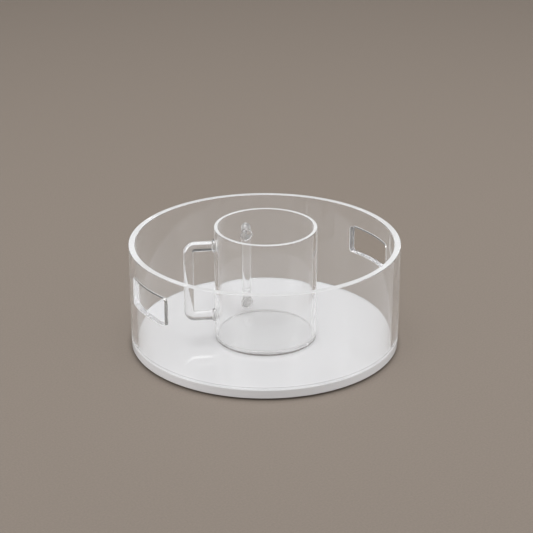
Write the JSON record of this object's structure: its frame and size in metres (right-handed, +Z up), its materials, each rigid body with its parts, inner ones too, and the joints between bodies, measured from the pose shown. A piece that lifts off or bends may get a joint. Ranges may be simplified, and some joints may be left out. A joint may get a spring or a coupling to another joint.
{
  "type": "dresser vanity tray",
  "caption": "Round clear acrylic dresser tray on a white disc, with hand holes in its wall and a loose clear mug with bent rod handles standing inside.",
  "frame": {"origin": "centre of the tray's underside, at the height of the surface the feet stand on", "axes": "+Z up; +X runs through the centre of one hand hole and -X through the other; the mug's side handle points towards -X and a little +Y, its back handle towards +Y and a little +X, set off the radius"},
  "size_m": [0.222, 0.222, 0.1049],
  "materials": {
    "white_acrylic": "glossy opaque white cast acrylic",
    "clear_acrylic": "clear polished cast acrylic tube",
    "clear_cup": "clear polished acrylic",
    "clear_rod": "clear flame-polished acrylic rod",
    "collar_cement": "clear cured acrylic cement",
    "cement": "thin line of cured acrylic cement",
    "foot_pad": "soft translucent grey bumper pad"
  },
  "bodies": {
    "tray": {"base_disc": "white_acrylic", "wall_cement": "cement", "tray_wall": "clear_acrylic", "foot_east": "foot_pad", "foot_north": "foot_pad", "foot_west": "foot_pad", "foot_south": "foot_pad"},
    "cup": {"cup_floor": "clear_cup", "cup_cement": "cement", "cup_wall": "clear_cup", "side_handle": "clear_rod", "side_top_collar": "collar_cement", "side_low_collar": "collar_cement", "back_handle": "clear_rod", "back_top_collar": "collar_cement", "back_low_collar": "collar_cement"}
  },
  "joints": [
    {"name": "cup_lift", "type": "slide", "parent": "tray", "child": "cup", "axis": [0, 0, 1], "range_m": [0, 0.1]}
  ]
}
